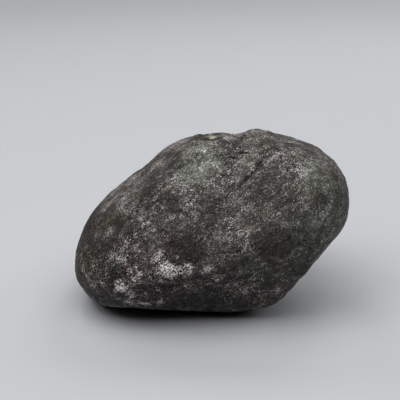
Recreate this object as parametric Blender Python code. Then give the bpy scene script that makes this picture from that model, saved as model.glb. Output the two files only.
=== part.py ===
"""A rough jadeite boulder: one water-worn stone with a fresh chip on its top.

The stone lies on its flat rest with +Z up and +X along its longest way. The origin is the middle
of its box, at the level it rests on.

Its form is built outwards from a point inside it, the heart. Each worn face is a flat that wear
has ground at its own distance from the heart, and the surface rounds over from one flat to the
next. Swells, hollows and creases then move the surface out or in, and three rough scoops take the
chip out of the top.
"""

import math
from collections import namedtuple

import bmesh
import bpy
import numpy as np
from mathutils import Vector, noise

MM = 0.001

# The worn faces. A bearing is the angle round from +X, seen from above, and a height is the angle
# up from level, both in degrees at the heart. The distance is from the heart, in millimetres.
Face = namedtuple("Face", "bearing height distance")
WORN_FACES = {
    "rest": Face(0, -90, 52),
    "upper left": Face(180, 47, 42.5),
    "upper left front": Face(225, 30, 54),
    "upper left back": Face(145, 32, 62),
    "left end": Face(176, -8, 79),
    "left toe": Face(196, -36, 97),
    "left front": Face(216, -24, 81.5),
    "left back": Face(142, -12, 77),
    "top": Face(85, 80, 51.5),
    "top right": Face(8, 59, 73.5),
    "right shoulder": Face(0, 36, 101),
    "right end": Face(2, 3, 94.5),
    "right front": Face(318, 8, 82),
    "right back": Face(46, 14, 79),
    "right flank": Face(0, -44, 58.8),
    "right toe": Face(-42, -46, 85),
    "upper front": Face(264, 44, 47),
    "lower front": Face(277, -24, 54.5),
    "front keel": Face(262, -56, 56),
    "upper back": Face(106, 37, 51),
    "lower back": Face(76, -22, 51),
    "back keel": Face(94, -54, 58),
}
EDGE_TIGHTNESS = 11  # higher leaves tighter edges between the worn faces
REST_DEPTH = 49  # the stone is ground flat this far below the heart, where it rests

# Oval patches that stand out of the surface, or sink into it where the rise is negative. A patch
# runs level, along its bearing, until it is rolled, anticlockwise in degrees seen from outside.
# Its half length, half width and rise are in millimetres.
Patch = namedtuple("Patch", "bearing height roll half_length half_width rise")
PATCHES = {
    "skyline lobe": Patch(11, 57, 0, 18, 18, 4.4),
    "front hollow": Patch(254, 5, -10, 20, 12, -2.6),
    "shelf under the hollow": Patch(250, -9, 12, 24, 8, 1.6),
    "left swell": Patch(188, 10, 60, 24, 16, 2.2),
    "left pit": Patch(214, 8, 30, 7, 5, -1.4),
    "brow of the right flank": Patch(313, 15, 20, 30, 9, 1.2),
    "dent in the right flank": Patch(303, -12, 60, 26, 14, -1.5),
    "dent under the shelf": Patch(262, -30, 0, 24, 10, -1.2),
    "left toe ledge": Patch(212, -32, -8, 24, 10, 2.6),
    "back hollow": Patch(100, 8, 25, 30, 18, -2.4),
    "back swell": Patch(55, -12, 0, 22, 16, 1.8),
    "back left dent": Patch(140, 20, -40, 22, 12, -1.8),
    "right corner": Patch(2, 3, 0, 26, 12, 2.4),
    "dent below the right corner": Patch(-27, -8, 60, 27, 15, -3.6),
    "left back shoulder": Patch(157, 5, 30, 30, 22, 1.9),
    "left end swell": Patch(174, -4, 0, 14, 10, 1.3),
    "left tip dent": Patch(183, -15, 0, 14, 9, -1),
    "right rim dent": Patch(-4, 19, 0, 14, 9, -1.2),
    "lower right swell": Patch(-34, -28, 0, 18, 12, 1.7),
    "swell behind the chip": Patch(118, 58, 0, 22, 14, 0.8),
}

# Creases and raised seams follow a line of points on the surface, each a bearing and a height in
# degrees. The half width and the rise are in millimetres.
Line = namedtuple("Line", "points half_width rise")
LINES = {
    "left trough": Line(((142, 31), (180, 34), (212, 27), (226, 19)), 9, -1.6),
    "crease beside the chip": Line(((329, 44), (322, 41), (315, 37), (304, 30)), 4, -1.6),
    "seam beside the crease": Line(((338, 41), (328, 38), (318, 33)), 5, 1.0),
    "crease behind the chip": Line(((-18, 63), (22, 63), (48, 54), (60, 44)), 6.5, -2.8),
    "crack below the chip": Line(((283, 63), (297, 59), (309, 53)), 4, -0.9),
    "crease on the back": Line(((70, 30), (82, 12), (80, -10)), 5, -1.4),
}

# Gentle unevenness all over: each wavelength and its greatest rise, in millimetres.
LUMPS = ((40, 1.5), (15, 0.5), (8, 0.25))
LUMP_SHIFT = (150, 20, 90)  # slides the pattern of lumps through the stone

# The chip. Each scoop is an oval blank whose underside cuts one flake, placed by its middle in the
# stone's own frame, with its half lengths along X, Y and Z, all in millimetres. It is tilted about
# X and Y, and then turned about Z, in degrees.
Scoop = namedtuple("Scoop", "middle half_lengths tilt_x tilt_y turn")
SCOOPS = {
    "chip_scoop": Scoop((0, 12, 118.4), (20, 30, 22), -11, -4, 14),
    "chip_end_scoop": Scoop((9, 19, 108), (13.5, 32, 12.5), -13, -4, -14),
    "chip_nick": Scoop((-2.5, 21, 101.5), (6, 7, 6), -14, 0, 0),
}
SPLINTER_LENGTH = 6  # the break is splintery rather than glassy
SPLINTER_RISE = 1.1

GRID_CUTS = 25  # each side of the starting cube
STRETCH = (1.3, 1.0, 0.9)  # spreads the grid evenly over the long stone
SCOOP_SUBDIVISIONS = 5

SKIN_COLOUR = (0.075, 0.068, 0.062, 1)
SKIN_ROUGHNESS = 0.75
JADE_COLOUR = (0.33, 0.36, 0.22, 1)
JADE_ROUGHNESS = 0.55


def direction(bearing, height):
    """The unit vector at a bearing and a height, in degrees."""
    round_angle = math.radians(bearing)
    up_angle = math.radians(height)
    level = math.cos(up_angle)
    return np.array((level * math.cos(round_angle), level * math.sin(round_angle), math.sin(up_angle)))


def worn_reach(directions):
    """How far the worn stone reaches from the heart along each unit direction."""
    total = np.zeros(len(directions))
    for face in WORN_FACES.values():
        facing = directions @ direction(face.bearing, face.height)
        total += np.maximum(0, facing / face.distance) ** EDGE_TIGHTNESS
    return total ** (-1 / EDGE_TIGHTNESS)


def surface_point(bearing, height):
    """The point of the worn surface at a bearing and a height."""
    outward = direction(bearing, height)
    return outward * worn_reach(outward[None])[0]


def patch_rise(patch, points):
    """What a patch adds at each point: its full rise in the middle, nothing past its edge."""
    outward = direction(patch.bearing, patch.height)
    along = np.cross((0, 0, 1), outward)
    along /= np.linalg.norm(along)
    across = np.cross(outward, along)
    roll = math.radians(patch.roll)
    long_way = along * math.cos(roll) + across * math.sin(roll)
    short_way = across * math.cos(roll) - along * math.sin(roll)
    away = points - surface_point(patch.bearing, patch.height)
    lengthwise = away @ long_way / patch.half_length
    crosswise = away @ short_way / patch.half_width
    inward = away @ outward / patch.half_length
    edge = np.maximum(0, 1 - lengthwise ** 2 - crosswise ** 2 - inward ** 2)
    return patch.rise * edge ** 2


def line_rise(line, points):
    """What a crease or a seam adds at each point: full along its middle, fading at its ends."""
    knots = [surface_point(*point) for point in line.points]
    runs = [np.linalg.norm(end - start) for start, end in zip(knots, knots[1:])]
    nearest = np.full(len(points), np.inf)
    travelled = np.zeros(len(points))
    done = 0
    for start, end, run in zip(knots, knots[1:], runs):
        share = np.clip((points - start) @ (end - start) / run ** 2, 0, 1)
        distance = np.linalg.norm(points - start - share[:, None] * (end - start), axis=1)
        closer = distance < nearest
        nearest[closer] = distance[closer]
        travelled[closer] = (done + share * run)[closer]
        done += run
    fade = np.sin(np.pi * (0.15 + 0.7 * travelled / done))
    return line.rise * fade * np.maximum(0, 1 - (nearest / line.half_width) ** 2) ** 2


def lump_rise(point):
    """The gentle unevenness at one point."""
    rise = 0
    for wavelength, height in LUMPS:
        rise += height * noise.noise((Vector(point) + Vector(LUMP_SHIFT)) / wavelength)
    return rise


def worn_stone(directions):
    """The stone's surface along each direction, from the heart, with its relief and flat rest."""
    points = directions * worn_reach(directions)[:, None]
    rise = np.array([lump_rise(point) for point in points])
    for patch in PATCHES.values():
        rise += patch_rise(patch, points)
    for line in LINES.values():
        rise += line_rise(line, points)
    points += directions * rise[:, None]
    points[:, 2] = np.maximum(points[:, 2], -REST_DEPTH)
    box_middle = (points.min(axis=0) + points.max(axis=0)) / 2
    return points - (box_middle[0], box_middle[1], -REST_DEPTH)


def stone_material(name, colour, roughness):
    """A plain Principled material."""
    material = bpy.data.materials.new(name)
    material.use_nodes = True
    surface = material.node_tree.nodes["Principled BSDF"]
    surface.inputs["Base Color"].default_value = colour
    surface.inputs["Roughness"].default_value = roughness
    surface.inputs["Metallic"].default_value = 0
    material.diffuse_color = colour
    return material


def add_object(name, mesh):
    """A new object in the scene that holds the mesh."""
    item = bpy.data.objects.new(name, mesh)
    bpy.context.scene.collection.objects.link(item)
    return item


def make_boulder(skin, jade):
    """The whole stone before the chip, grown from a gridded cube."""
    grid = bmesh.new()
    bmesh.ops.create_cube(grid, size=2)
    bmesh.ops.subdivide_edges(grid, edges=grid.edges[:], cuts=GRID_CUTS, use_grid_fill=True)
    corners = np.array([corner.co for corner in grid.verts])
    corners = np.tan(corners * math.pi / 4) * STRETCH
    directions = corners / np.linalg.norm(corners, axis=1, keepdims=True)
    for corner, point in zip(grid.verts, worn_stone(directions)):
        corner.co = point * MM
    bmesh.ops.triangulate(grid, faces=grid.faces[:])
    mesh = bpy.data.meshes.new("jadeite_boulder")
    grid.to_mesh(mesh)
    grid.free()
    mesh.shade_smooth()
    mesh.materials.append(skin)
    mesh.materials.append(jade)
    return add_object("jadeite_boulder", mesh)


def make_scoop(name, scoop, jade):
    """One rough oval blank, which the chip is cut with."""
    blank = bmesh.new()
    bmesh.ops.create_icosphere(blank, subdivisions=SCOOP_SUBDIVISIONS, radius=1)
    for corner in blank.verts:
        point = corner.co * Vector(scoop.half_lengths)
        splinter = noise.noise(point / SPLINTER_LENGTH) * SPLINTER_RISE
        corner.co = (point + corner.co * splinter) * MM
    mesh = bpy.data.meshes.new(name)
    blank.to_mesh(mesh)
    blank.free()
    mesh.materials.append(jade)
    cutter = add_object(name, mesh)
    cutter.location = Vector(scoop.middle) * MM
    angles = (scoop.tilt_x, scoop.tilt_y, scoop.turn)
    cutter.rotation_euler = [math.radians(angle) for angle in angles]
    cutter.hide_render = True
    cutter.display_type = "WIRE"
    return cutter


def take_chip(boulder, jade):
    """Cut the chip with each scoop in turn. The cut faces keep the jade's material."""
    for name, scoop in SCOOPS.items():
        cut = boulder.modifiers.new(name, "BOOLEAN")
        cut.operation = "DIFFERENCE"
        cut.solver = "EXACT"
        cut.material_mode = "TRANSFER"
        cut.object = make_scoop(name, scoop, jade)


def main():
    for item in list(bpy.data.objects):
        bpy.data.objects.remove(item)
    skin = stone_material("weathered_skin", SKIN_COLOUR, SKIN_ROUGHNESS)
    jade = stone_material("fresh_jade", JADE_COLOUR, JADE_ROUGHNESS)
    boulder = make_boulder(skin, jade)
    take_chip(boulder, jade)


main()
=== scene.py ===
import math

import bmesh
import bpy
import numpy as np
from mathutils import Euler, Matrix, Vector, kdtree, noise
from mathutils.bvhtree import BVHTree


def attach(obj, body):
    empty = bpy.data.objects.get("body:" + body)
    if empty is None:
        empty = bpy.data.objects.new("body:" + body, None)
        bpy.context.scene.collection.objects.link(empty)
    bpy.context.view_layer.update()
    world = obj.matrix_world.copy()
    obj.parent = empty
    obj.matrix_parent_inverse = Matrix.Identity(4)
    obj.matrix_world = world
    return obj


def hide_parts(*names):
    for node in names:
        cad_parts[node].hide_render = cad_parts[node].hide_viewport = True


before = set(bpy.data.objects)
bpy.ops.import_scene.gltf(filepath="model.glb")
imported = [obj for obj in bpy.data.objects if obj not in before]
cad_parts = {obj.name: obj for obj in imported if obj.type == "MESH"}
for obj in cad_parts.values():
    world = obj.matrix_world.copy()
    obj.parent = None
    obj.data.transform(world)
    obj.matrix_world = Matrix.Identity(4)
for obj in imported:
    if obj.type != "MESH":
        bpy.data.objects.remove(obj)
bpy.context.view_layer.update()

mm = 0.001  # the stone is worked out in millimetres and scaled at the end, the studio in metres

stone = {
    "node": "jadeite_boulder",
    "weld": 0.001,                    # points closer than this become one
    "voxel": 0.88,                    # spacing of the fine skin's grid
    "skinSmoothing": 7,               # rounds of smoothing over the skin
    "chipSmoothing": 2,               # fewer on the fresh break, which keeps its edges
    "smoothingStep": 0.5,             # how far each round moves a point to its neighbours' mean
    "foliation": (0.78, 0.10, 0.62),  # the way the grains are drawn out
    "drawnOut": 1.3,                  # how many times longer they are that way
    "restFade": 3.0,                  # the relief dies out this far above the flat rest
}


def smoothStep(low, high, value):
    share = np.clip((value - low) / (high - low), 0, 1)
    return share * share * (3 - 2 * share)


def blob(points, middle, halfLengths, falloff=1.5):
    # 1 in the middle of an oval region, falling smoothly to 0 at its edge
    away = (points - middle) / halfLengths
    return np.maximum(0, 1 - (away ** 2).sum(axis=1)) ** falloff


def waves(points, wavelength, shift=0.0):
    # soft noise from -1 to 1 at each point
    scaled = points / wavelength + shift
    return np.array([noise.noise(Vector(point)) for point in scaled])


def addObject(name, data):
    holder = bpy.data.objects.new(name, data)
    bpy.context.scene.collection.objects.link(holder)
    return holder


def gridMesh():
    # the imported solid, laid over again with an even fine grid
    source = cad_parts[stone["node"]]
    build = bmesh.new()
    build.from_mesh(source.data)
    bmesh.ops.remove_doubles(build, verts=build.verts[:], dist=stone["weld"] * mm)
    mesh = bpy.data.meshes.new("rough_jadeite")
    build.to_mesh(mesh)
    build.free()
    piece = addObject("rough_jadeite", mesh)
    grid = piece.modifiers.new("grid", "REMESH")
    grid.mode = "VOXEL"
    grid.voxel_size = stone["voxel"] * mm
    graph = bpy.context.evaluated_depsgraph_get()
    fine = bpy.data.meshes.new_from_object(piece.evaluated_get(graph))
    piece.modifiers.clear()
    piece.data = fine
    bpy.data.meshes.remove(mesh)
    return piece


def readPoints(mesh):
    flat = np.empty(len(mesh.vertices) * 3, np.float32)
    mesh.vertices.foreach_get("co", flat)
    return flat.reshape(-1, 3).astype(float) / mm


def writePoints(mesh, points):
    mesh.vertices.foreach_set("co", (points * mm).astype(np.float32).ravel())
    mesh.update()


def readNormals(mesh):
    flat = np.empty(len(mesh.vertices) * 3, np.float32)
    mesh.vertex_normals.foreach_get("vector", flat)
    return flat.reshape(-1, 3).astype(float)


def edgeEnds(mesh):
    flat = np.empty(len(mesh.edges) * 2, np.int32)
    mesh.edges.foreach_get("vertices", flat)
    return flat.reshape(-1, 2).T


def neighbourMean(values, ends):
    # each point's average over its neighbours
    first, second = ends
    size = len(values)
    count = np.bincount(first, minlength=size) + np.bincount(second, minlength=size)
    columns = []
    for column in values.T:
        total = np.bincount(first, weights=column[second], minlength=size)
        total += np.bincount(second, weights=column[first], minlength=size)
        columns.append(total / count)
    return np.stack(columns, axis=1)


# The fresh break: the middle, half lengths and angles of the scoops that cut the solid
chip = {
    "scoops": [
        ((0, 12, 118.4), (20, 30, 22), (-11, -4, 14)),
        ((9, 19, 108), (13.5, 32, 12.5), (-13, -4, -14)),
        ((-2.5, 21, 101.5), (6, 7, 6), (-14, 0, 0)),
    ],
    "splinterLength": 6,
    "splinterRise": 1.1,
    "near": 3,               # how far from a scoop its points are looked for
    "edge": (0.1, 0.35),     # a point is on the break this near a scoop, and off it this far away
    "facing": (0.3, 0.7),    # how squarely a point has to face a scoop's middle
    "roughness": ((2.4, 0.22), (1.5, 0.12)),  # wavelength and height of its fine splinters
    "shift": 3.3,            # another value gives other splinters
    "rim": (0.05, 0.5),      # the shares between which a point is on the rim
    "rind": (0.2, 2.2),      # where the weathered band inside the rim starts and ends
}


def chipShare(points, normals):
    # 1 on the fresh break: the points near a scoop's rough surface that face its middle
    share = np.zeros(len(points))
    for middle, halfLengths, angles in chip["scoops"]:
        turn = np.array(Euler([math.radians(angle) for angle in angles]).to_matrix())
        local = (points - middle) @ turn
        reach = np.linalg.norm(local / halfLengths, axis=1)
        onScoop = local / reach[:, None]
        distance = (reach - 1) * np.linalg.norm(onScoop, axis=1)
        near = np.abs(distance) < chip["near"]
        splinters = np.zeros(len(points))
        splinters[near] = waves(onScoop[near], chip["splinterLength"]) * chip["splinterRise"]
        outward = (local / np.square(halfLengths)) @ turn.T
        outward /= np.linalg.norm(outward, axis=1)[:, None]
        facing = smoothStep(*chip["facing"], -(outward * normals).sum(axis=1))
        close = 1 - smoothStep(*chip["edge"], np.abs(distance - splinters))
        share = np.maximum(share, close * facing)
    return share


def freshBand(points, chipMask):
    # 0 at the rim of the break and 1 where the rind ends
    outer, inner = chip["rim"]
    rim = np.flatnonzero((chipMask > outer) & (chipMask <= inner))
    tree = kdtree.KDTree(len(rim))
    for index in rim:
        tree.insert(points[index], index)
    tree.balance()
    fresh = np.zeros(len(points))
    for index in np.flatnonzero(chipMask > inner):
        fresh[index] = tree.find(points[index])[2]
    return smoothStep(*chip["rind"], fresh)


def smoothed(points, ends, chipMask):
    for turn in range(stone["skinSmoothing"]):
        mean = neighbourMean(points, ends)
        share = np.full(len(points), stone["smoothingStep"])
        if turn >= stone["chipSmoothing"]:
            share *= 1 - chipMask
        points = points + (mean - points) * share[:, None]
    return points


def drawOut(points):
    # squeezes the points along the foliation, so that noise read there comes out drawn out
    way = np.array(stone["foliation"])
    way /= np.linalg.norm(way)
    along = points @ way
    return points - np.outer(along * (1 - 1 / stone["drawnOut"]), way)


# The skin's relief: name, wavelength, greatest rise, and whether the grain draws it out
relief = {
    "swells": (11.0, 0.34, False),
    "knobs": (5.2, 0.20, True),
    "sugar": (2.6, 0.13, True),
    "grit": (1.7, 0.07, False),
}

pocks = {
    "wavelength": 3.4,
    "shift": 8.8,            # another value puts them elsewhere
    "low": (0.28, 0.75),     # how low the noise falls where a pock starts and where it is full
    "depth": 0.55,
    "darkFill": 0.6,         # how far the dark stains fill them
}


def pockRise(points):
    # small ragged hollows where the noise falls low
    low = -waves(points, pocks["wavelength"], pocks["shift"])
    return -pocks["depth"] * smoothStep(*pocks["low"], low)


hairlines = {
    "wavelength": 17.0,      # how far the fine cracks wander
    "slope": 1.6,            # how fast the noise climbs over one wavelength
    "halfWidth": 0.5,
    "depth": 0.3,
    "runs": (0.12, 0.27),    # higher breaks the cracks into shorter runs
    "runLength": 0.8,        # as a share of the wavelength
    "shifts": (31.7, 5.1),   # other values put the cracks and their breaks elsewhere
}


def hairlineRise(points):
    # thin cracks where a soft noise passes through 0
    pathShift, gateShift = hairlines["shifts"]
    path = waves(points, hairlines["wavelength"], pathShift)
    gate = waves(points, hairlines["wavelength"] * hairlines["runLength"], gateShift)
    width = hairlines["halfWidth"] / hairlines["wavelength"] * hairlines["slope"]
    groove = np.maximum(0, 1 - np.abs(path) / width)
    return -hairlines["depth"] * groove * smoothStep(*hairlines["runs"], gate)


# Thin sheets that have flaked off low on the left, as small steps up the stone
ledges = {
    "middle": (-41, -43, 16),
    "halfLengths": (24, 16, 9),
    "spacing": 2.6,
    "rise": 0.5,
    "riser": 0.3,            # the share of each step that climbs
    "wobble": (9.0, 1.1),    # wavelength, and how many steps the edges stray
    "shift": 12.0,           # another value gives other edges
    "fullness": 2,           # higher keeps the steps at full height nearer to the region's edge
}


def ledgeRise(points):
    weight = blob(points, ledges["middle"], ledges["halfLengths"])
    wavelength, stray = ledges["wobble"]
    wobble = waves(points, wavelength, ledges["shift"]) * stray
    level = (points[:, 2] / ledges["spacing"] + wobble) % 1.0
    step = smoothStep(0, ledges["riser"], level) - level
    return ledges["rise"] * step * np.minimum(1, weight * ledges["fullness"])


# Cracks and raised seams: their points, half width, rise, and how much lighter they are
seams = {
    "creaseHead": ([(28.5, -23, 94), (27.5, -23.6, 93.3), (26, -24.8, 92), (25, -26, 91)],
                   1.2, -1.0, -0.05),
    "crease": ([(26, -25, 92), (24.4, -27, 90), (22.7, -28.2, 88.8), (21, -29.3, 87.5),
                (19, -30.5, 86)], 1.1, -1.1, -0.18),
    "creaseTail": ([(20.5, -30, 87), (17.5, -32, 84), (14.5, -34, 82), (11, -36.5, 79)],
                   0.9, -0.4, -0.08),
    "lip": ([(29.5, -25, 91.5), (32.6, -22.8, 94), (35.4, -21.5, 95.3), (37.6, -20, 96.6),
             (41, -17.5, 97.6)], 1.3, 0.7, 0.21),
    "creaseCrumbs": ([(17, -25, 91.5), (20, -25.5, 91.5), (22.5, -24, 93)], 1.1, 0.35, 0.16),
    "firstCrack": ([(1, -20, 95.5), (5.9, -19.9, 95.4), (9.7, -19.7, 96)], 0.9, -0.8, -0.18),
    "firstBranch": ([(9, -20.5, 95.2), (12, -21.8, 94.2), (14, -21, 95)], 1.1, -0.8, -0.18),
    "crumbs": ([(8.5, -22.2, 93.2), (12.4, -22.8, 93.2), (16.5, -22.9, 93.4)], 0.9, 0.4, 0.16),
    "secondCrack": ([(14, -19.3, 96.6), (17.5, -18.6, 97.1), (21, -19.2, 96.9)],
                    0.9, -0.7, -0.17),
    "thirdCrack": ([(17.5, -13, 99.8), (20, -12.5, 100), (23, -13.5, 99.8)], 0.8, -0.6, -0.16),
    "stepCrack": ([(17.5, 3, 100.8), (17.5, -3, 100.7), (16.5, -9, 100.3), (15.5, -13, 99.6)],
                  1.3, -0.6, -0.12),
    "chipCrack": ([(-13.5, -9.6, 97), (-8, -9.7, 99), (-3, -9.6, 100), (1, -9.5, 100.3)],
                  0.8, -0.5, -0.14),
    "greenLip": ([(-6, -22.5, 91.5), (-1, -23, 92), (4, -23.5, 91.8)], 1.0, 0.4, 0.08),
    "leftCrack": ([(-24, -29, 81.5), (-29, -30, 78.5), (-34, -31, 74), (-36, -34, 70)],
                  1.2, -0.5, -0.06),
    "frontCrack": ([(-3, -50, 64), (6, -52, 63), (14, -51, 64), (20, -50, 66)],
                   1.0, -0.45, -0.05),
    "flankCrack": ([(30, -52, 44), (38, -53, 50), (47, -52, 58), (54, -48, 64)],
                   1.0, -0.4, -0.04),
    "backCrack": ([(14, 52, 74), (16, 57, 60), (12, 57, 44)], 1.3, -0.6, -0.12),
    "backRightCrack": ([(60, 30, 66), (50, 44, 58), (42, 50, 44)], 1.1, -0.45, -0.10),
}

seamWay = {
    "seed": 2,               # another seed sends the wandering trails another way
    "step": 0.4,             # from one point of a trail to the next, in half widths
    "wander": (3.0, 1.2),    # wavelength, and how many half widths a trail strays
    "widest": 1.0,           # a wider seam strays no further than one of this half width
    "breadth": (0.75, 0.6),  # the half width's middle value and how much it varies, as shares
    "breadthLength": 2.2,    # wavelength of that
    "reach": 1.6,            # how many half widths a seam spreads
    "falloff": 1.3,          # higher makes a seam's section sharper
    "ends": 0.08,            # higher leaves a seam stronger at its ends
    "margin": 2,             # higher looks further round a route for points of its seam
    "shadeGain": 1.6,        # higher colours more of a seam's width
}


def seamTrail(route, halfWidth):
    # closely spaced points along a route
    stops = [Vector(stop) for stop in route]
    trail = []
    for start, end in zip(stops, stops[1:]):
        steps = max(2, int((end - start).length / (halfWidth * seamWay["step"])))
        trail += [start.lerp(end, step / steps) for step in range(steps)]
    return trail + [stops[-1]]


def seamShare(points, surface, route, halfWidth):
    # 1 on a route over the surface, which wanders a little and fades at both ends
    trail = seamTrail(route, halfWidth)
    wavelength, stray = seamWay["wander"]
    tree = kdtree.KDTree(len(trail))
    for index, place in enumerate(trail):
        wander = noise.noise_vector(place / wavelength) * min(halfWidth, seamWay["widest"]) * stray
        onSurface = surface.find_nearest((place + wander) * mm)[0] / mm
        tree.insert(onSurface, index)
    tree.balance()
    margin = seamWay["margin"] * (1 + halfWidth)
    low = np.min(route, axis=0) - margin
    high = np.max(route, axis=0) + margin
    near = np.flatnonzero(((points > low) & (points < high)).all(axis=1))
    last = len(trail) - 1
    middle, varies = seamWay["breadth"]
    share = np.zeros(len(points))
    for index in near:
        place, step, distance = tree.find(points[index])
        breadth = middle + varies * noise.noise(place / seamWay["breadthLength"])
        reach = halfWidth * breadth * seamWay["reach"]
        if distance < reach:
            along = seamWay["ends"] + (1 - 2 * seamWay["ends"]) * step / last
            share[index] = math.sin(math.pi * along) * (1 - distance / reach) ** seamWay["falloff"]
    return share


# Broad rises and hollows that catch the light: the middle, the half lengths and the rise
shelves = [
    ((-0.5, -5, 101), (8, 6, 5), -1.2),
    ((16, 5, 100.5), (4.5, 14, 6), -0.6),
    ((21, 4, 102), (5, 14, 6), 0.5),
    ((-22, -57, 38.5), (17, 9, 9), 1.5),
    ((-22, -55, 32), (16, 9, 5), -0.9),
    ((-50, -49, 27.5), (11, 9, 7), 1.3),
    ((-12, -54, 55), (15, 10, 8), -0.9),
    ((29, 4, 103), (5, 14, 6), -0.5),
    ((34.5, 4, 102), (5, 14, 6), 0.6),
    ((60, 14, 90.5), (8, 14, 7), 0.6),
    ((-29, 22, 85), (9, 14, 8), 0.7),
    ((-48, 18, 69), (16, 20, 14), 0.9),
    ((-67, 5, 51), (12, 20, 10), 1.3),
    ((-78, -6, 38), (9, 18, 11), -1.0),
    ((-80, -14, 27), (8, 14, 6), -0.5),
    ((-7.5, 17, 96.5), (4, 14, 5), 0.6),
    ((26, -36, 8), (14, 10, 8), 0.8),
    ((25, 11, 101.5), (5, 14, 6), 0.4),
    ((-73, -29, 25), (12, 16, 10), 0.9),
    ((-77, -17, 19), (9, 14, 7), 0.9),
    ((65, -6, 90), (14, 24, 10), 1.0),
    ((79, -7, 71.5), (8, 14, 8), -1.3),
    ((74, -24, 56), (10, 22, 12), 0.8),
    ((57, -45, 46), (10, 16, 9), -0.4),
    ((53, -43, 39), (8, 14, 7), -0.5),
    ((49, -42, 33), (11, 16, 9), 1.2),
    ((43, -38, 23), (10, 14, 8), -0.6),
    ((34, -33, 12), (15, 15, 8), 1.7),
    ((38, -4, 10), (18, 20, 9), 1.8),
    ((54, 4, 30), (16, 20, 16), 1.8),
]

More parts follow.
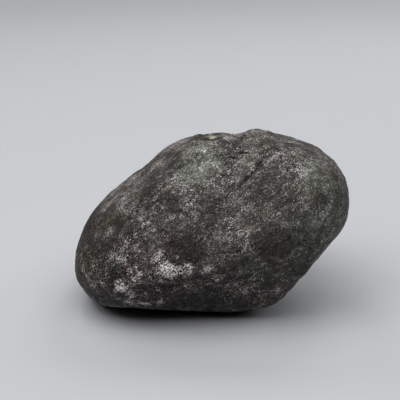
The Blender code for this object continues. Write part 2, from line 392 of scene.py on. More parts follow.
# Round stains: the middle's X, Y and Z, the radius, and the strength, which takes away below 0
stains = {
    "pale": [
        (-6, -15, 98, 7, 0.9), (4, -17, 97, 7, 0.5), (-2, -25, 90, 6, 1), (3, -25, 90, 4, 0.9),
        (-9, -27, 88, 6, 0.8), (-14, -17, 94, 5, 0.5), (-17, 14, 93, 6, 0.9),
        (-19, -30, 83, 9, 0.8), (-16, -31, 83, 5, 0.5), (-4, -33, 82, 7, 0.6),
        (6, -35, 81, 4, 0.4), (-56, 18, 62, 5, 0.5), (50, -29, 90, 5, 0.8), (58, -25, 91, 6, 0.8),
        (53, -32, 86, 5, 0.8), (45, -36, 83, 8, 0.6), (65, -31, 82, 5, 0.4),
        (64, -28, 85, 4, 0.6), (37, -21, 96, 6, 0.5), (10, -5, 101, 4, 0.8),
        (32, -37, 82, 4, 0.5), (23, -6, 101, 6, 0.5), (19, -16, 99, 4, 0.2),
        (26, -20, 96, 4, 0.2), (11, -23, 93, 3.5, 0.7), (21, -26, 91, 4, 0.6),
        (15, -24, 92, 4, 0.7), (13, -32, 84, 7, 0.6), (-51, -10, 68, 5, 0.4),
        (-46, 14, 70, 7, 0.4), (-32, 2, 83, 6, 1), (-59, 19, 60, 7, 0.6), (-61, -1, 59, 6, 0.6),
        (-42, -33, 67, 4, 0.2), (-30, -49, 59, 5, 0.3), (-38, -51, 52, 5, 0.4),
        (-54, -44, 42, 4, 0.5), (-28, -52, 54, 4, 0.5), (3, -38, 77, 4, 0.3),
        (-29, -36, 75, 3, 0.2), (-13, -53, 34, 4, 0.4), (-37, -40, 66, 5, 0.4),
        (-21, -47, 65, 5, 0.6), (-4, -54, 60, 5, 0.45), (9, -52, 64, 6, 0.3),
        (18, -51, 66, 6, 0.4), (7, -54, 59, 6, 0.2), (12, -40, 76, 5, 0.4), (-30, -4, 84, 4, 0.6),
        (-19, -31, 82, 5, 0.9), (-2, -17, 97, 4, 0.7), (51, -28, 90, 3.5, 0.3),
        (-52, -21, 64, 5, 0.5), (-14, -49, 64, 4, 0.5), (14, -51, 65, 5, 0.6),
        (9, -56, 46, 5, 0.4), (-27, -45, 19, 4, 0.7), (17, -42, 21, 4, 0.5),
        (36, -42, 24, 4, 0.4), (31, -43, 75, 3.5, 0.5), (12, -28, 88, 4, 0.5),
        (49, -17, 96, 3.5, 0.4), (43, -21, 95, 4, 0.6), (28, 3, 102.5, 5, 0.8),
        (-26, 18, 88, 7, 0.7), (44, -36, 81, 5, 0.6), (8, -16, 99, 5, 0.6), (14, -32, 85, 4, 0.5),
        (-8, -41, 73, 4, 0.5), (12, -53, 61, 5, 0.2), (2, -56, 47, 4, 0.3), (36, -39, 21, 4, 0.4),
        (-13, -37, 77, 4, 0.2), (-13, -46, 68, 4, 0.3), (55, -47, 67, 5, 0.5),
        (62, -42, 66, 5, 0.4), (53, -28, 89, 4, 0.5), (60, -35, 81, 4, 0.4),
        (59, -46, 51, 5, 0.4), (-56, -30, 54, 4, 0.6), (-4, -57, 45, 5, 0.5),
        (2, -56, 46, 5, 0.5), (7, -57, 48, 4, 0.2), (2, -52, 36, 4, 0.3), (10, -46, 28, 5, 0.5),
        (19, -45, 29, 6, 0.5), (-65, -41, 26, 6, 0.3), (-32, -58, 38, 4, 0.6),
        (30, 44, 70, 12, 0.7), (-34, 48, 40, 12, 0.8), (70, 26, 44, 10, 0.6),
        (-64, 24, 44, 10, 0.6), (6, 55, 40, 9, 0.6), (-12, 40, 84, 9, 0.6), (52, 8, 98, 9, 0.5),
        (70, -6, 30, 8, 0.5), (-74, 6, 22, 7, 0.5), (-24, -58, 44, 3, 0.9),
        (-72, -30, 30, 4, 0.5), (-29, -10, 86, 4, 0.7), (-51, -51, 29, 3, 0.5),
        (49, -41, 78, 4, 0.5), (48, -39, 80, 4, 0.7), (-15, 8, 95, 4, 0.5), (-42, 0, 72, 5, 0.5),
        (9, -3, 101, 4, 0.9), (21, -56, 56, 3.5, 0.5), (-36, -40, 67, 3, 0.3),
        (16.5, -53.5, 61.5, 4, 0.6), (-26, -42, 69, 3.5, 0.5), (42, -29, 90, 4, 0.3),
        (-12.5, -36, 78, 4, 0.5), (55, -28, 90, 4, 0.6), (37, -50, 69, 4, 0.35),
        (14, -49, 67, 4, 0.3), (21, -46, 71, 4, 0.4), (-7, -47, 67, 5, 0.4),
        (23, -7, 101, 4, 0.4), (-21, -58, 43, 3, 0.6), (-49, -29, 64, 4, 0.5),
        (12, -3, 101, 4, 0.6), (13, 8, 98, 7, 0.9), (48, -45, 74, 3.5, 0.5),
        (30, -24, 93, 3, 0.7), (-49, -16, 68, 4, 0.5), (5, -52.5, 63, 4, 0.4),
        (6, -55, 58, 4, 0.4), (53, -34, 85, 4, 0.5), (23, -33, 82, 4, 0.4), (42, -37, 82, 4, 0.3),
        (-36, -57, 42, 3, 0.5), (27, -14, 99, 4, 0.4), (-41, -31, 69, 5, 0.35),
        (-13, -41, 72, 4, 0.4), (-26, -29, 82, 4, 0.4), (30, -47, 71, 4, 0.4),
        (25, -22, 95, 3, 0.5), (-58, -40, 43, 4, 0.4), (-45, -52, 28, 3, 0.5),
    ],
    "white": [
        (-25.5, -58, 45.5, 3, 1), (-22, -58, 44, 3.2, 0.85), (-19.5, -58, 40.5, 3, 0.4),
        (-24, -58, 42, 3.5, 0.8), (-29, -57.5, 43, 2.8, 0.4), (-17.5, -58, 45, 2.5, 0.45),
        (-13, -57.5, 44.5, 3.4, 0.9), (-12, -56, 40, 3, 0.2), (-31, -55.5, 48.5, 2.8, 0.7),
        (-2.5, -56, 43.5, 3.2, 0.8), (-5, -55, 40.5, 3, 0.45), (-27.5, -55, 51, 2.2, 0.4),
        (-27, -53.5, 53, 2.5, 0.6), (-50.5, -46.5, 44.5, 3, 0.6), (-46, -50.5, 44, 2.8, 0.6),
        (-53.5, -42, 49, 2.4, 0.3), (-50.5, -51, 32.5, 2.8, 1), (-50.5, -51, 30, 2.5, 0.8),
        (-46.5, -52.5, 30, 2.6, 0.6), (-43, -54, 33, 2.4, 0.4), (-44, -49, 23.5, 2.4, 0.6),
        (-38.5, -56, 40, 2.4, 0.75), (-40, -55.5, 35.5, 2.8, 0.5), (-43, -54.5, 37.5, 2.6, 0.45),
        (-65.5, -40, 26, 2.6, 0.5), (-60.5, -45, 28.5, 2.6, 0.6), (-70, -32.5, 22, 2, 0.6),
        (-37, -43.5, 16.5, 4, 0.75), (-45.5, -44.5, 18, 4, 0.65), (-28.5, -44.5, 17.5, 3, 0.6),
        (-58.5, -44.5, 35.5, 1.8, 0.8), (-41, -54, 43.5, 1.8, 0.7), (-44.5, -53, 41, 2, 0.6),
        (-14.5, -52, 31, 1.9, 0.7), (-29.5, -52, 28.5, 1.8, 0.6), (-36, -51, 26, 2, 0.6),
        (2, -53, 38.5, 2, 0.4), (3, -51, 34.5, 2.2, 0.6), (-19, -56, 50, 1.8, 0.6),
        (52, -29, 90, 3.5, 0.45), (2, -24, 91, 3, 0.6), (-6, -25, 90, 4, 0.5),
        (-5.5, -16, 97.5, 3.5, 0.6), (-31, 2, 84, 3, 0.45), (-16, 12, 94, 3, 0.4),
        (-20, 57, 54, 4, 0.9), (-14, 58, 50, 4, 0.7), (34, 46, 66, 4, 0.6), (72, 24, 50, 4, 0.6),
        (-66, 22, 38, 4, 0.6), (10, 50, 24, 4, 0.5), (-8, 30, 92, 4, 0.4), (-26, 54, 44, 3, 0.6),
        (44, 46, 58, 3, 0.6), (-60, 32, 32, 4, 0.6), (-36, -57, 38, 2.5, -0.5),
        (8, -4, 101, 2.5, 0.4), (-15, 11, 95, 3, 0.4),
    ],
    "coarse": [
        (-50, -47, 30, 20, 1), (-34, -48, 24, 18, 0.9), (-20, -55, 42, 12, 0.7),
        (-66, -36, 34, 12, 0.6), (0, -50, 34, 12, 0.4), (12, -44, 24, 14, 0.5),
        (-46, -46, 48, 12, 0.4), (-20, 54, 40, 22, 0.8), (-60, 24, 34, 16, 0.7),
        (40, 44, 56, 18, 0.6), (72, 20, 40, 14, 0.5), (-46, -36, 62, 16, 0.35),
        (6, -44, 24, 16, 0.3), (40, -52, 50, 16, -0.3), (68, -30, 76, 14, 0.25),
    ],
    # dark patches of the skin; the ones low along the foot, below about 26 mm, add painted shade
    # under the stone
    "dark": [
        (-66, 20, 53, 6, 0.7), (-58, 23, 60, 6, 0.7), (-50, 24, 66, 6, 0.6),
        (-43, 24, 72, 6, 0.5), (-36, 25, 78, 6, 0.4), (66, 10, 87, 6, 0.4), (73, 4, 81, 6, 0.5),
        (79, -3, 72, 6, 0.6), (80, -8, 60, 7, 0.6), (76, -14, 50, 7, 0.4), (-16, -54, 56, 9, 1),
        (-10, -55, 54, 6, 0.9), (-17, -56, 50, 6, 0.8), (-33, -51, 54, 5, 0.5),
        (-39, -48, 56, 4, 0.6), (-51, -40, 53, 4, 0.4), (-51, -49, 40, 5, 0.6),
        (-50, -49, 25, 3, 0.9), (-38, -52, 30, 5, 0.8), (-58, -46, 24, 5, 0.6),
        (-52, -29, 60, 4.5, 1), (-46, -38, 61, 5, 0.5), (-26, -6, 88, 7, 0.5),
        (-21, -19, 90, 5, 0.6), (-37, -13, 78, 5, 0.5), (-31, -17, 83, 5, 0.2),
        (-36, -27, 76, 5, 0.7), (-37, -31, 73, 5, 0.5), (-33, -37, 71, 5, 0.5),
        (-27, -36, 75, 7, 0.25), (-22, -34, 79, 5, 0.2), (-29, -45, 66, 4, 0.5),
        (-17, -44, 69, 5, 0.3), (-24, -28, 85, 4, 0.2), (-4, -37, 78, 5, 0.6),
        (6, -23, 92, 4, 0.5), (12, -21, 95, 4, 0.25), (6, -13, 100, 5, 0.4),
        (12, -14, 100, 6, 0.7), (31, -12, 100, 7, 0.7), (31, -28, 89, 5, 0.6),
        (27, -34, 83, 5, 0.5), (17, -28, 89, 4, 0.5), (10, -37, 79, 5, 0.7),
        (38, -37, 81, 5, 0.6), (36, -40, 78, 5, 0.5), (6, -43, 72, 4, 0.3), (-1, -46, 69, 5, 0.4),
        (-5, -50, 64.5, 5, 0.9), (-9, -51, 62, 4, 0.4), (23, -48, 68, 5, 0.3),
        (45, -41, 78, 5, 0.6), (46, -48, 71, 5, 0.3), (47, -48, 42, 6, 0.5),
        (55, -44, 71, 4, 0.4), (46, -9, 99, 5, 0.5), (58, -28, 88, 4, 0.4),
        (-25, -50, 60, 6, 0.5), (-54, -14, 65, 5, 0.3), (-56, -23, 59, 5, 0.5),
        (-57, -36, 49, 7, 0.8), (-62, -34, 44, 7, 0.6), (-63, -17, 55, 8, 0.7),
        (-69, -22, 45, 8, 0.7), (-69, 8, 52, 6, 0.6), (-73, -5, 45, 13, 0.9),
        (-56, -48, 34, 6, 0.9), (-66, -37, 32, 5, 0.7), (-74, -27, 23, 7, 0.8),
        (-68, -36, 16, 7, 0.7), (-32, -52, 29, 7, 0.4), (-22, -51, 29, 7, 0.45),
        (-31, -46, 20, 6, 0.5), (-17, -44, 20, 8, 0.6), (-59, -41, 18, 7, 0.7),
        (0, -46, 26, 10, 0.8), (-5, -51, 36, 5, 0.5), (1, -57, 54, 4, 0.2), (14, -54, 44, 5, 0.4),
        (27, -56, 58, 8, 0.7), (37, -51, 45, 6, 0.6), (42, -54, 56, 10, 0.7),
        (32, -46, 32, 9, 0.5), (54, -46, 50, 7, 0.5), (61, -44, 57, 6, 0.5),
        (50, -40, 33, 9, 0.7), (15, -48, 34, 6, 0.7), (17.5, -44, 25, 5, 0.6),
        (10, -43, 20, 6, 0.6), (33, -37, 16, 6, 0.4), (-20, -42, 14, 8, 0.5),
        (0, -42, 14, 8, 0.6), (18, -38, 13, 7, 0.6), (45, -25, 93, 4, 0.5), (47, -48, 71, 4, 0.6),
        (45, -34, 20, 6, 0.8), (-18, -8, 95, 5, 0.5), (-25, -27, 84, 4, 0.6),
        (-22, -36, 77, 4, 0.5), (-53.5, -50, 34, 3, 0.8), (1, -44, 73, 4, 0.4),
        (9, -25, 91, 4, 0.5), (-26, -15, 87, 5, 0.5), (25, -40, 78, 5, 0.4),
        (42, -17, 97, 5, 0.2), (37, -55, 60, 6, 0.5), (56, 8, 93, 6, 0.6), (16, -34, 82, 4, 0.5),
        (32, -40, 78, 4, 0.6), (37, -45, 74, 4, 0.4), (-8, -38, 77, 4, 0.5),
        (-9, -44, 70, 5, 0.6), (-17, -38, 75, 4, 0.2), (-44, -50, 47, 4, 0.6),
        (-11, -52, 34, 4, 0.5), (47, -52, 52, 5, 0.4), (12, -55, 58, 5, 0.3),
        (-60, -43, 26, 4, 0.2), (58, -40, 76, 5, 0.4), (62, -35, 79, 4, 0.3),
        (69, -27, 82, 5, 0.7), (74, -20, 70, 7, 0.5), (20, 54, 30, 14, 0.6),
        (-30, 50, 20, 12, 0.6), (76, 12, 44, 12, 0.4), (4, 50, 72, 10, 0.6),
        (-46, 34, 62, 9, 0.6), (36, 40, 84, 8, 0.5), (-60, 10, 62, 4, 0.4), (56, 40, 40, 8, 0.5),
        (41, -41, 78, 4, 0.5), (-37, -57, 38, 3, 0.5), (10, -50, 66, 4, 0.2),
        (-70, -30, 36, 4, 0.5), (37, -31, 89, 3, 0.3), (-15, -22, 91, 4, 0.4),
        (13, -16, 98, 4, 0.4), (-50, -49, 41, 3, 0.5), (-60, -39, 40, 4, 0.6),
        (-66, -39, 30, 3.5, 0.4), (-9, 9, 98, 4, 0.6), (14, -56, 58, 3, 0.2),
        (-38, -34, 70, 4, 0.5), (-19, -44, 68, 6, 0.5), (2, -54, 60, 4, 0.25),
        (-55, -10, 64, 4, 0.4), (0, -57, 49, 4, 0.4), (51, -37, 82, 4, 0.4),
        (-19, -57, 38, 3.5, 0.4), (57, -31, 87, 4, 0.4), (-8, -57, 44, 3, 0.5),
        (0, -27, 89, 3, 0.3), (-10, -44.5, 70, 4, 0.35), (-45, -30, 66, 4, 0.4),
        (24, 2, 103, 4, 0.5), (18, -48, 68, 3.5, 0.4), (-50, -41, 15, 4, 0.5),
        (-6, -20, 94, 3.5, 0.3), (-3, -41, 73, 4, 0.3), (-52, -49, 25, 3, 0.5),
        (32, -34, 84, 4, 0.3), (-69, -36, 28, 3.5, 0.4), (35, -49, 70, 5, 0.2),
        (20, -32, 84, 4, 0.4), (-45, -16, 70, 3.5, 0.4), (-34, -43, 64, 4, 0.35),
        (-31, -25, 80, 3.5, 0.4), (31, -53, 65, 4, 0.4), (44, -53, 62, 4, 0.4),
        (-54, -40, 50, 4, 0.4),
    ],
    "green": [
        (-3, -20, 94, 9, 0.8), (-9, -27, 88, 10, 1), (2, -24, 91, 6, 0.6), (-12, -15, 96, 9, 0.6),
        (21, -11, 100, 6, 0.7), (22, -22, 95, 6, 0.6), (60, -29, 87, 10, 1),
        (57, -34, 82, 10, 0.9), (66, -34, 76, 9, 0.6), (47, -50, 67, 8, 1), (57, -46, 66, 8, 1),
        (68, -37, 63, 10, 0.8), (32, -56, 59, 6, 0.6), (18, -55, 46, 7, 0.6),
        (35, -46, 32, 12, 0.45), (52, -48, 50, 14, 0.6), (-19, -48, 65, 6, 0.45),
        (2, -56, 57, 7, 0.45), (-44, 5, 71, 8, 0.45), (20, -50, 38, 12, 0.4),
        (0, 52, 62, 14, 0.9), (42, 20, 98, 12, 0.6), (-50, 40, 58, 12, 0.6),
        (60, 36, 54, 14, 0.8), (72, 10, 30, 12, 0.5), (-20, 24, 88, 10, 0.6),
        (30, 54, 44, 10, 0.6),
    ],
    "olive": [
        (-68, -30, 40, 8, 0.9), (-55, -23, 59, 8, 0.8), (-74, -26, 34, 7, 0.7),
        (-45, -17, 69, 6, 0.6), (0, -8, 100, 5, 0.5), (27, -8, 100, 5, 0.5), (10, 36, 96, 9, 0.6),
        (-60, 30, 50, 9, 0.6),
    ],
    "slate": [
        (-70, 8, 50, 9, 0.9), (-62, 22, 56, 9, 0.9), (-50, 24, 66, 9, 0.8), (-38, 24, 76, 9, 0.7),
        (-79, -4, 36, 8, 0.6), (74, 2, 82, 9, 0.7), (79, -6, 66, 10, 0.9), (76, -16, 50, 9, 0.7),
        (50, 14, 94, 8, 0.5), (-56, -45, 40, 6, 0.7), (40, -20, 30, 12, 0.4),
        (-20, 58, 40, 14, 0.6),
    ],
    # pale jade in the fresh break; the ones below 0 darken it, mostly on its left, as painted shade
    # in the hollow there together with the dark rind
    "jade": [
        (-0.2, -2, 99.9, 1.3, 1), (1.7, -2, 99.9, 1.3, 1), (1, 2, 99, 3.5, 0.45),
        (0, 6, 97.8, 3.5, 0.45), (1, 10, 97, 3.5, 0.4), (0.5, 14, 96.3, 2.5, 0.55),
        (-1, 20, 95.8, 2, 0.45), (9, 0, 100, 5, 0.15), (10, 20, 96, 6, 0.3), (-6, 1, 99, 4, -0.6),
        (-5, 20, 96, 4, -0.45), (4, 20, 96, 3, -0.3), (-8, 8, 98.5, 5, -0.4),
    ],
    "bare": [
        (-8, 1, 99.5, 3, 0.8), (-4, -3, 100.5, 2.5, 0.7), (0.5, -3, 100.5, 3, 1),
        (5, -3, 101, 2.5, 0.5), (14, 10, 97, 9, -0.9),
    ],
    "plum": [
        (-74, -3, 46, 9, 1), (-24, -52, 55, 6, 0.9), (-34, -55, 49, 6, 0.9),
        (-42, -53, 42, 7, 0.9), (-47, -44, 53, 6, 0.5), (-33, -52, 27, 8, 0.6),
        (-2, -56, 44, 7, 0.6), (-60, -45, 25, 9, 0.4), (-31, -24, 81, 5, 0.4),
        (-12, -56, 40, 8, 0.5), (34, -5, 100, 6, 0.4), (28, 52, 54, 9, 0.7),
        (-16, 50, 68, 9, 0.6), (-66, 20, 30, 10, 0.6), (-30, -53, 33, 12, 0.6),
        (-10, -53, 34, 9, 0.5), (-31, -46, 20, 9, 0.7), (-50, -50, 34, 8, 0.6),
    ],
}

# Where wear, stains, darkening in the hollows and painted shade on the underside show
wear = {
    "softRounds": 4,         # rounds of smoothing over which knobs stand out and pits sink
    "hollow": (0.02, 0.32),  # how deep a point lies where the darkening starts and where it is full
    "worn": (0.02, 0.30),    # how far a point stands out where wear starts and where it is full
    "under": (0.0, 0.9),     # how much a point faces down where the darkening starts and where it is full: painted shade under the stone, on skin that is darker there too
    "stainSpread": 1.5,      # how many of its radii away a stain ends
}


def stainWeight(points, name):
    weight = np.zeros(len(points))
    for x, y, z, radius, strength in stains[name]:
        near = blob(points, (x, y, z), radius * wear["stainSpread"]) * strength
        weight = weight + near * (1 - weight)
    return weight


def skinRise(points):
    # how far the skin stands out or sinks, before its seams
    drawn = drawOut(points)
    rise = np.zeros(len(points))
    for wavelength, height, isDrawn in relief.values():
        rise += height * waves(drawn if isDrawn else points, wavelength, wavelength)
    rise += pockRise(drawn) * (1 - pocks["darkFill"] * stainWeight(points, "dark"))
    rise += hairlineRise(points)
    rise += ledgeRise(points)
    for middle, halfLengths, height in shelves:
        rise += height * blob(points, middle, halfLengths)
    return rise


def addSeams(rise, points, mesh):
    # raises and sinks the seams, and gives how much they lighten or darken the skin
    surface = BVHTree.FromPolygons([Vector(point) * mm for point in points],
                                   [tuple(face.vertices) for face in mesh.polygons])
    noise.seed_set(seamWay["seed"])
    shade = np.zeros(len(points))
    for route, halfWidth, height, lighter in seams.values():
        share = seamShare(points, surface, route, halfWidth)
        rise += height * share
        shade += lighter * np.minimum(1, seamWay["shadeGain"] * share)
    return shade


def standing(points, normals, ends):
    # how far each point stands out of its softened surroundings
    soft = points
    for turn in range(wear["softRounds"]):
        soft = neighbourMean(soft, ends)
    return ((points - soft) * normals).sum(axis=1)


def setMask(mesh, name, values):
    attribute = mesh.attributes.new(name, "FLOAT", "POINT")
    attribute.data.foreach_set("value", values.astype(np.float32))


def makeStone():
    piece = gridMesh()
    mesh = piece.data
    ends = edgeEnds(mesh)
    raw = readPoints(mesh)
    chipMask = chipShare(raw, readNormals(mesh))
    points = smoothed(raw, ends, chipMask)
    writePoints(mesh, points)
    normals = readNormals(mesh)
    print("stone grid", len(points), "points")

    rise = skinRise(points)
    seamShade = addSeams(rise, points, mesh)
    rise *= 1 - chipMask
    splinters = sum(height * waves(points, length, chip["shift"])
                    for length, height in chip["roughness"])
    rise += splinters * chipMask
    rise *= smoothStep(0, stone["restFade"], points[:, 2])
    print("relief from", round(rise.min(), 2), "to", round(rise.max(), 2), "mm")

    shaped = points + normals * rise[:, None]
    shaped[:, 2] = np.maximum(shaped[:, 2], 0)
    writePoints(mesh, shaped)
    stand = standing(shaped, normals, ends)
    setMask(mesh, "chip", chipMask)
    setMask(mesh, "seamShade", seamShade)
    setMask(mesh, "fresh", freshBand(points, chipMask))
    setMask(mesh, "hollow", smoothStep(*wear["hollow"], -stand))
    setMask(mesh, "worn", smoothStep(*wear["worn"], stand))
    # darker where the skin faces down: painted shade under the stone, on skin that is darker there
    # too
    setMask(mesh, "under", smoothStep(*wear["under"], -normals[:, 2]))
    for name in stains:
        setMask(mesh, name + "Stain", stainWeight(points, name))
    mesh.shade_smooth()
    return piece


class Wire:
    # one socket's output, so that shader maths reads as maths
    def __init__(self, maker, socket):
        self.maker = maker
        self.socket = socket

    def output(self, name):
        # another output of the same node
        return Wire(self.maker, self.socket.node.outputs[name])

    def apply(self, operation, *values):
        sockets = dict(enumerate(values))
        return self.maker.add("Math", {"operation": operation}, sockets)

    def __add__(self, other):
        return self.apply("ADD", self, other)

    __radd__ = __add__

    def __sub__(self, other):
        return self.apply("SUBTRACT", self, other)

    def __rsub__(self, other):
        return self.apply("SUBTRACT", other, self)

    def __mul__(self, other):
        return self.apply("MULTIPLY", self, other)

    __rmul__ = __mul__

    def __pow__(self, other):
        return self.apply("POWER", self, other)

    def between(self, low, high):
        # 0 below low, 1 above high
        settings = {"interpolation_type": "SMOOTHSTEP"}
        return self.maker.add("MapRange", settings, {0: self, 1: low, 2: high, 3: 0.0, 4: 1.0})


class Finish:
    # one material's node tree
    def __init__(self, name):
        self.material = bpy.data.materials.new(name)
        self.material.use_nodes = True
        self.tree = self.material.node_tree
        self.tree.nodes.clear()

    def add(self, kind, settings=None, sockets=None, output=0):
        node = self.tree.nodes.new("ShaderNode" + kind)
        for key, value in (settings or {}).items():
            if key == "stops":
                self.setStops(node.color_ramp, value)
            else:
                setattr(node, key, value)
        for key, value in (sockets or {}).items():
            if isinstance(value, Wire):
                self.tree.links.new(value.socket, node.inputs[key])
            else:
                node.inputs[key].default_value = value
        return Wire(self, node.outputs[output]) if node.outputs else node

    def setStops(self, ramp, stops):
        while len(ramp.elements) < len(stops):
            ramp.elements.new(0.5)
        for element, (name, place) in zip(ramp.elements, stops.items()):
            element.position = place
            element.color = (*paint[name], 1)

    def ramp(self, light, stops):
        return self.add("ValToRGB", {"stops": stops}, {0: light})

    def layered(self, blend, share, first, second):
        # sockets 6 and 7 of a colour Mix are A and B, and output 2 is the colour
        settings = {"data_type": "RGBA", "blend_type": blend}
        sockets = {0: share}
        for socket, colour in ((6, first), (7, second)):
            sockets[socket] = colour if isinstance(colour, Wire) else (*colour, 1)
        return self.add("Mix", settings, sockets, 2)

    def mix(self, share, first, second):
        return self.layered("MIX", share, first, second)

    def tinted(self, share, colour, tint):
        return self.layered("MULTIPLY", share, colour, tint)

    def mask(self, name):
        return self.add("Attribute", {"attribute_name": name}, {}, "Fac")

    def objectPlace(self):
        return self.add("TexCoord", {}, {}, "Object")

    def vector(self, operation, first, second, output=0):
        return self.add("VectorMath", {"operation": operation}, {0: first, 1: second}, output)

    def scaled(self, vector, factor):
        return self.add("VectorMath", {"operation": "SCALE"}, {0: vector, "Scale": factor})

    def noise(self, coords, size, detail, roughness):
        sockets = {"Vector": coords, "Scale": 1 / size, "Detail": detail, "Roughness": roughness}
        return self.add("TexNoise", {}, sockets)

    def cells(self, coords, size, feature="F1"):
        return self.add("TexVoronoi", {"feature": feature}, {"Vector": coords, "Scale": 1 / size})

    def cellShade(self, cells):
        # each cell's own random value; its Green output is a second one
        return self.add("SeparateColor", {}, {0: cells.output("Color")})


# Colours of the stone, as a camera's linear red, green and blue
paint = {
    "black": (0.009, 0.008, 0.0075),
    "umber": (0.031, 0.027, 0.0235),
    "brown": (0.077, 0.067, 0.059),
    "grey": (0.143, 0.127, 0.115),
    "ash": (0.30, 0.273, 0.254),
    "frost": (0.66, 0.63, 0.625),
    # the whitest crystals, and also the colour of the painted highlights on single grains
    "snowAndGlint": (0.92, 0.90, 0.89),
    "green": (0.91, 1.0, 0.96),         # tints, laid over the greys
    "olive": (1.0, 1.0, 0.80),
    "plum": (1.0, 0.87, 0.90),
    "slate": (0.90, 0.97, 1.05),
    "rindDark": (0.022, 0.022, 0.018),  # the fresh break, from its rim inwards
    "rind": (0.046, 0.046, 0.039),
    "jade": (0.165, 0.168, 0.138),
    "jadePale": (0.78, 0.78, 0.6),
}

noiseMiddle = 0.5  # a noise swings above and below this

# Layers of noise: size, detail, roughness, and whether the grain draws it out
layers = {
    "fine": (1.3, 2.0, 0.6, True),
    "sugar": (2.8, 5.0, 0.72, True),
    "middle": (4.6, 3.0, 0.62, True),
    "patch": (13.0, 3.0, 0.6, False),
    "cloud": (5.0, 3.0, 0.6, False),    # inside the fresh break
}

# Tints: the noise that frays their edges, how much, and the values over which they come in
tints = {
    "green": ("patchSwing", 0.9, (0.15, 0.65)),
    "plum": ("middleSwing", 1.1, (0.25, 0.8)),
    "olive": ("middleSwing", 0.9, (0.2, 0.8)),
    "slate": ("patchSwing", 0.9, (0.2, 0.8)),
}

# How much each thing gathers light crystals
gather = {
    "sugarSwing": 1.5,
    "middleSwing": 1.0,
    "patchSwing": 0.45,
    "facetSwing": 0.35,
    "smallFacetSwing": 0.30,
    "paleStain": 0.45,
    "darkStain": -0.45,
}

# How much each thing lightens the skin
lighten = {
    "clusterSwing": 0.14,
    "facetSwing": 0.04,
    "smallFacetSwing": 0.04,
    "worn": 0.05,
    "hollow": -0.10,
    "paleStain": 0.08,
    # dark patches, and painted shade low along the foot
    "darkStain": -0.08,
    "joint": -0.10,
    # painted shade on the down-facing skin, with its darker colour there
    "under": -0.07,
    "coarseStain": -0.06,
}

# How much each thing strengthens the grain
strengthen = {
    "busy": 0.60,
    "cluster": 0.52,
    "coarseStain": 0.45,
}

skin = {
    "lightness": 0.310,          # of the plain skin, as an eye would place it from 0 to 1
    "ramp": {"black": 0.08, "umber": 0.18, "brown": 0.30, "grey": 0.41, "ash": 0.57,
             "frost": 0.78, "snowAndGlint": 0.95},
    "gathered": (0.18, 0.95),    # where light crystals start to gather and where they are thickest
    "clusterMiddle": 0.45,       # gathered this much, the crystals leave the skin as light as it is
    "greenLift": 0.02,           # how much the green tint lightens
    "oliveStrength": 0.8,
    "plumUnderFrost": 0.7,       # how much of the plum tint the white stains hide
    "specular": 0.22,
    "ior": 1.5,
    "roughness": (0.60, 0.85),
    "bump": 0.8,
    "bumpFine": 0.16,            # what each layer adds to the bump
    "bumpGrain": 0.07,
    "bumpMiddle": 0.12,
}

# The ragged flat facets, and the thin dark joints between them, broken into short runs
facets = {
    "facet": 6.0,                # their size
    "smallFacet": 2.6,
    "edges": (3.0, 3.0, 0.6),    # size, detail and roughness of the noise that frays them
    "ragged": 2.2,               # how far they stray
    "joint": 0.08,               # width of the joints, as a share of a facet
    "runs": (0.46, 0.58),        # higher leaves fewer joints
    "patches": 0.5,              # how much the joints keep to patches
}

# Single flakes of pale and of black mineral
flakes = {
    "size": 1.6,
    "pale": 0.13,                # how much lighter than the skin
    "paleRare": (0.80, 0.92),    # higher leaves fewer of them
    "black": 0.09,               # how much darker
    "blackRare": (0.72, 0.84),
    "elsewhere": 0.35,           # how strong they are away from the coarse stains
    "underGreen": 0.5,           # how much of them the green tint hides
}

# The crystal grain
grains = {
    "size": 0.46,
    "contrast": 0.63,
    "power": 1.6,                # higher makes light grains rarer
    "middle": 0.38,              # an average grain, which leaves the skin as light as it is
    "fine": 0.16,                # what the fine noise adds
    "strength": 0.22,            # where nothing else strengthens it
    "busyNoise": (8.0, 3.0, 0.6),
    "busy": (0.32, 0.68),        # where it starts to stand out and where it stands out most
    "greenFade": 0.28,           # how much each thing weakens it
    "plumFade": 0.25,
    "darkFade": 0.25,
    "seamFade": 12,
}

# White stains, frayed by the sugar and the fine noise
frosting = {
    "fray": 0.6,
    "band": (0.25, 0.75),        # the values over which they come in
    "lift": 0.32,                # how much they lighten the skin, and what their grain adds
    "sugar": 0.9,
    "speck": 0.6,
}

# Painted highlights: single grains mixed towards snow white where crystal faces would glint, most
# of them where light crystals gather
paintedGlints = {
    "cluster": 0.10,
    "frost": 0.06,
    "rare": (0.97, 1.03),        # higher leaves fewer
    "core": (0.25, 0.55),        # where a glint starts and ends, as a share of its grain
    "strength": 0.85,
}

# The fresh break inside its rim
freshJade = {
    "fray": 0.3,                 # how much the fine noise frays its edge
    "band": (0.3, 0.7),          # the values over which it comes in
    "lightness": 0.17,
    "cloud": 0.6,                # what each thing adds to its lightness
    "fine": 0.6,
    "inward": 0.2,
    "inwardMiddle": 0.6,         # how far in from the rim it is as light as elsewhere
    "speck": 0.3,
    "vein": 0.55,
    "veinSugar": 0.4,
    "ramp": {"rindDark": 0.0, "rind": 0.16, "jade": 0.45, "jadePale": 0.85},
}


def weighted(total, parts, weights):
    for name, weight in weights.items():
        total = total + weight * parts[name]
    return total


def drawnPlace(make, coords):
    # squeezed along the foliation, so that noise read there comes out drawn out
    way = Vector(stone["foliation"]).normalized()
    along = make.vector("DOT_PRODUCT", coords, way, "Value")
    pull = make.scaled(way, along * (1 - 1 / stone["drawnOut"]))
    return make.vector("SUBTRACT", coords, pull)


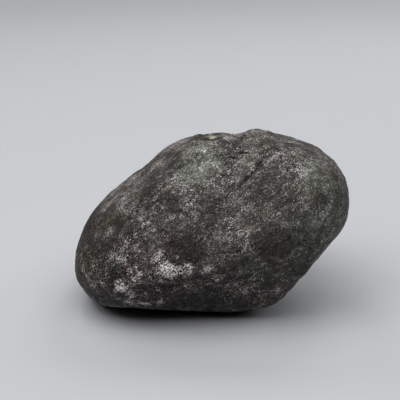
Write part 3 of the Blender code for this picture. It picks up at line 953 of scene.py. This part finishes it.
def addFacets(make, parts, drawn):
    jitter = make.noise(drawn, *facets["edges"]).output("Color")
    ragged = make.vector("ADD", drawn, make.scaled(jitter, facets["ragged"]))
    for name in ("facet", "smallFacet"):
        parts[name + "Swing"] = make.cellShade(make.cells(ragged, facets[name])) - noiseMiddle
    borders = make.cells(ragged, facets["facet"], "DISTANCE_TO_EDGE")
    runs = parts["middle"] + facets["patches"] * parts["patchSwing"]
    parts["joint"] = (1 - borders.between(0.0, facets["joint"])) * runs.between(*facets["runs"])
    shade = make.cellShade(make.cells(ragged, flakes["size"]))
    black = shade.output("Green").between(*flakes["blackRare"])
    parts["flake"] = flakes["pale"] * shade.between(*flakes["paleRare"]) - flakes["black"] * black


def addGrain(make, parts, coords, drawn):
    crystals = make.cells(drawn, grains["size"])
    grain = make.cellShade(crystals)
    parts["grain"] = grain
    parts["otherGrain"] = grain.output("Green")
    parts["core"] = 1 - crystals.between(*paintedGlints["core"])
    parts["busy"] = make.noise(coords, *grains["busyNoise"]).between(*grains["busy"])
    speck = grains["contrast"] * (grain ** grains["power"] - grains["middle"])
    parts["speck"] = speck + grains["fine"] * parts["fineSwing"]


def skinParts(make):
    # what the finish is made from, by name: the mesh's masks, the noises, the facets, the grain
    names = ["chip", "fresh", "hollow", "worn", "under", "seamShade"]
    names += [name + "Stain" for name in stains if name not in tints]
    parts = {name: make.mask(name) for name in names}
    coords = make.scaled(make.objectPlace(), 1 / mm)
    drawn = drawnPlace(make, coords)
    for name, (size, detail, roughness, isDrawn) in layers.items():
        parts[name] = make.noise(drawn if isDrawn else coords, size, detail, roughness)
        parts[name + "Swing"] = parts[name] - noiseMiddle
    addFacets(make, parts, drawn)
    addGrain(make, parts, coords, drawn)
    for name, (frayedBy, fray, band) in tints.items():
        parts[name] = (make.mask(name + "Stain") + fray * parts[frayedBy]).between(*band)
    parts["cluster"] = weighted(noiseMiddle, parts, gather).between(*skin["gathered"])
    parts["clusterSwing"] = parts["cluster"] - skin["clusterMiddle"]
    frayed = parts["whiteStain"] + frosting["fray"] * parts["sugarSwing"]
    parts["frost"] = (frayed + frosting["fray"] * parts["fineSwing"]).between(*frosting["band"])
    return parts


def grainStrength(parts):
    strength = weighted(grains["strength"], parts, strengthen)
    strength = strength * (1 - grains["greenFade"] * parts["green"] * (1 + parts["paleStain"]))
    strength = strength * (1 - grains["plumFade"] * parts["plum"])
    strength = strength * (1 - grains["darkFade"] * parts["darkStain"])
    return strength * (1 - grains["seamFade"] * parts["seamShade"] * parts["seamShade"])


def skinLight(parts):
    # how light each spot is, as an eye would place it from 0 to 1
    light = weighted(skin["lightness"], parts, lighten)
    elsewhere = flakes["elsewhere"]
    flake = parts["flake"] * (elsewhere + (1 - elsewhere) * parts["coarseStain"])
    light = light + flake * (1 - flakes["underGreen"] * parts["green"])
    light = light + parts["speck"] * grainStrength(parts)
    light = light + skin["greenLift"] * parts["green"] + parts["seamShade"]
    lift = frosting["lift"] + frosting["sugar"] * parts["sugarSwing"]
    return light + parts["frost"] * (lift + frosting["speck"] * parts["speck"])


# painted highlights: how far each grain is mixed towards snow white
def paintedGlintShare(parts):
    paintedGlint = parts["otherGrain"] + paintedGlints["cluster"] * parts["cluster"]
    paintedGlint = (paintedGlint + paintedGlints["frost"] * parts["frost"]).between(*paintedGlints["rare"])
    return paintedGlints["strength"] * paintedGlint * parts["core"]


def jadeLight(parts):
    light = freshJade["lightness"] + freshJade["cloud"] * parts["cloudSwing"]
    light = light + freshJade["fine"] * parts["fineSwing"]
    light = light + freshJade["inward"] * (parts["fresh"] - freshJade["inwardMiddle"])
    light = light + freshJade["speck"] * parts["speck"]
    vein = freshJade["vein"] + freshJade["veinSugar"] * parts["sugar"]
    return light + parts["jadeStain"] * vein


def stoneFinish():
    make = Finish("jadeite_skin")
    parts = skinParts(make)
    colour = make.ramp(skinLight(parts), skin["ramp"])
    # painted highlights on single grains
    colour = make.mix(paintedGlintShare(parts), colour, paint["snowAndGlint"])
    colour = make.tinted(parts["green"], colour, paint["green"])
    colour = make.tinted(parts["olive"] * skin["oliveStrength"], colour, paint["olive"])
    plum = parts["plum"] * (1 - skin["plumUnderFrost"] * parts["frost"])
    colour = make.tinted(plum, colour, paint["plum"])
    colour = make.tinted(parts["slate"], colour, paint["slate"])
    bare = parts["chip"] + parts["bareStain"] + freshJade["fray"] * parts["fineSwing"]
    jade = make.ramp(jadeLight(parts), freshJade["ramp"])
    colour = make.mix(bare.between(*freshJade["band"]), colour, jade)

    smoothest, roughest = skin["roughness"]
    rough = smoothest + (roughest - smoothest) * parts["grain"]
    height = skin["bumpFine"] * parts["fine"] + skin["bumpGrain"] * parts["grain"]
    height = height + skin["bumpMiddle"] * parts["middle"]
    normal = make.add("Bump", {}, {"Strength": skin["bump"], "Distance": mm, "Height": height})
    surface = make.add("BsdfPrincipled", {}, {
        "Base Color": colour, "Roughness": rough, "Normal": normal, "IOR": skin["ior"],
        "Specular IOR Level": skin["specular"]})
    make.add("OutputMaterial", {}, {0: surface})
    return make.material


studio = {
    "floor": (0.600, 0.612, 0.638),
    "floorSize": 12.0,
    "floorRoughness": 0.9,
    "floorSpecular": 0.2,
    "glow": (1.1, 2.2),      # the floor takes on the backdrop's brightness between these distances
    "backdrop": 0.45,        # brightness of what is seen past the floor
    "air": (0.96, 0.98, 1.0),
}

# Soft panels: each one's place, what it faces, its width and height, and its power
panels = {
    "front": ((0, -0.9, 1.6), (0, -0.9, 0), (0.96, 0.96), 5.9),
    "frontLeft": ((-0.8, -0.6, 1.3), (0, 0, 0.03), (0.9, 0.8), 7.4),
    "frontRight": ((0.8, -0.6, 1.3), (0, 0, 0.03), (0.9, 0.8), 3.8),
    "above": ((0, -0.3, 1.6), (0, -0.3, 0), (0.96, 0.96), 4.6),
    "aboveLeft": ((-0.5, 0, 1.1), (-0.5, 0, 0), (0.66, 0.66), 2.2),
    "backLeft": ((-0.5, 0.9, 1.1), (-0.5, 0.9, 0), (0.66, 0.66), 3.8),
    "backRight": ((0.5, 0.9, 1.1), (0.5, 0.9, 0), (0.66, 0.66), 5.5),
    "sideRight": ((1.2, 0.6, 0.8), (0, 0, 0.05), (0.8, 0.8), 3.0),
}


def placed(name, data, place, target):
    holder = addObject(name, data)
    holder.location = place
    aim = Vector(target) - holder.location
    holder.rotation_euler = aim.to_track_quat("-Z", "Y").to_euler()
    return holder


def makeFloor():
    half = studio["floorSize"] / 2
    corners = [(-half, -half, 0), (half, -half, 0), (half, half, 0), (-half, half, 0)]
    mesh = bpy.data.meshes.new("floor")
    mesh.from_pydata(corners, [], [(0, 1, 2, 3)])
    floor = addObject("floor", mesh)
    make = Finish("floor_paper")
    away = make.add("VectorMath", {"operation": "LENGTH"}, {0: make.objectPlace()}, "Value")
    bright = [studio["backdrop"] * share for share in studio["air"]]
    glow = make.mix(away.between(*studio["glow"]), (0, 0, 0), bright)
    surface = make.add("BsdfPrincipled", {}, {
        "Base Color": (*studio["floor"], 1), "Roughness": studio["floorRoughness"],
        "Specular IOR Level": studio["floorSpecular"], "Emission Color": glow,
        "Emission Strength": 1.0})
    make.add("OutputMaterial", {}, {0: surface})
    mesh.materials.append(make.material)


def makeStudio():
    for name, (place, target, size, power) in panels.items():
        lamp = bpy.data.lights.new(name, "AREA")
        lamp.shape = "RECTANGLE"
        lamp.size, lamp.size_y = size
        lamp.energy = power
        placed(name, lamp, place, target)
    world = bpy.data.worlds.new("studio_air")
    world.use_nodes = True
    air = world.node_tree.nodes["Background"]
    air.inputs["Color"].default_value = (*studio["air"], 1)
    air.inputs["Strength"].default_value = studio["backdrop"]
    world.cycles_visibility.diffuse = False
    world.cycles_visibility.glossy = False
    bpy.context.scene.world = world
    bpy.context.scene.view_settings.view_transform = "Standard"


view = {
    "aim": (-0.00655, 0.0, 0.062),
    "elevation": 20.0,
    "distance": 0.5515,
    "lens": 85.0,
}


def makeCamera():
    camera = bpy.data.cameras.new("camera")
    camera.lens = view["lens"]
    angle = math.radians(view["elevation"])
    back = Vector((0, -math.cos(angle), math.sin(angle)))
    place = Vector(view["aim"]) + back * view["distance"]
    bpy.context.scene.camera = placed("camera", camera, place, view["aim"])


boulder = makeStone()
boulder.data.materials.clear()
boulder.data.materials.append(stoneFinish())
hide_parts(stone["node"])
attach(boulder, "root")
print("stone finished")
makeFloor()
makeStudio()
makeCamera()
print("studio ready")
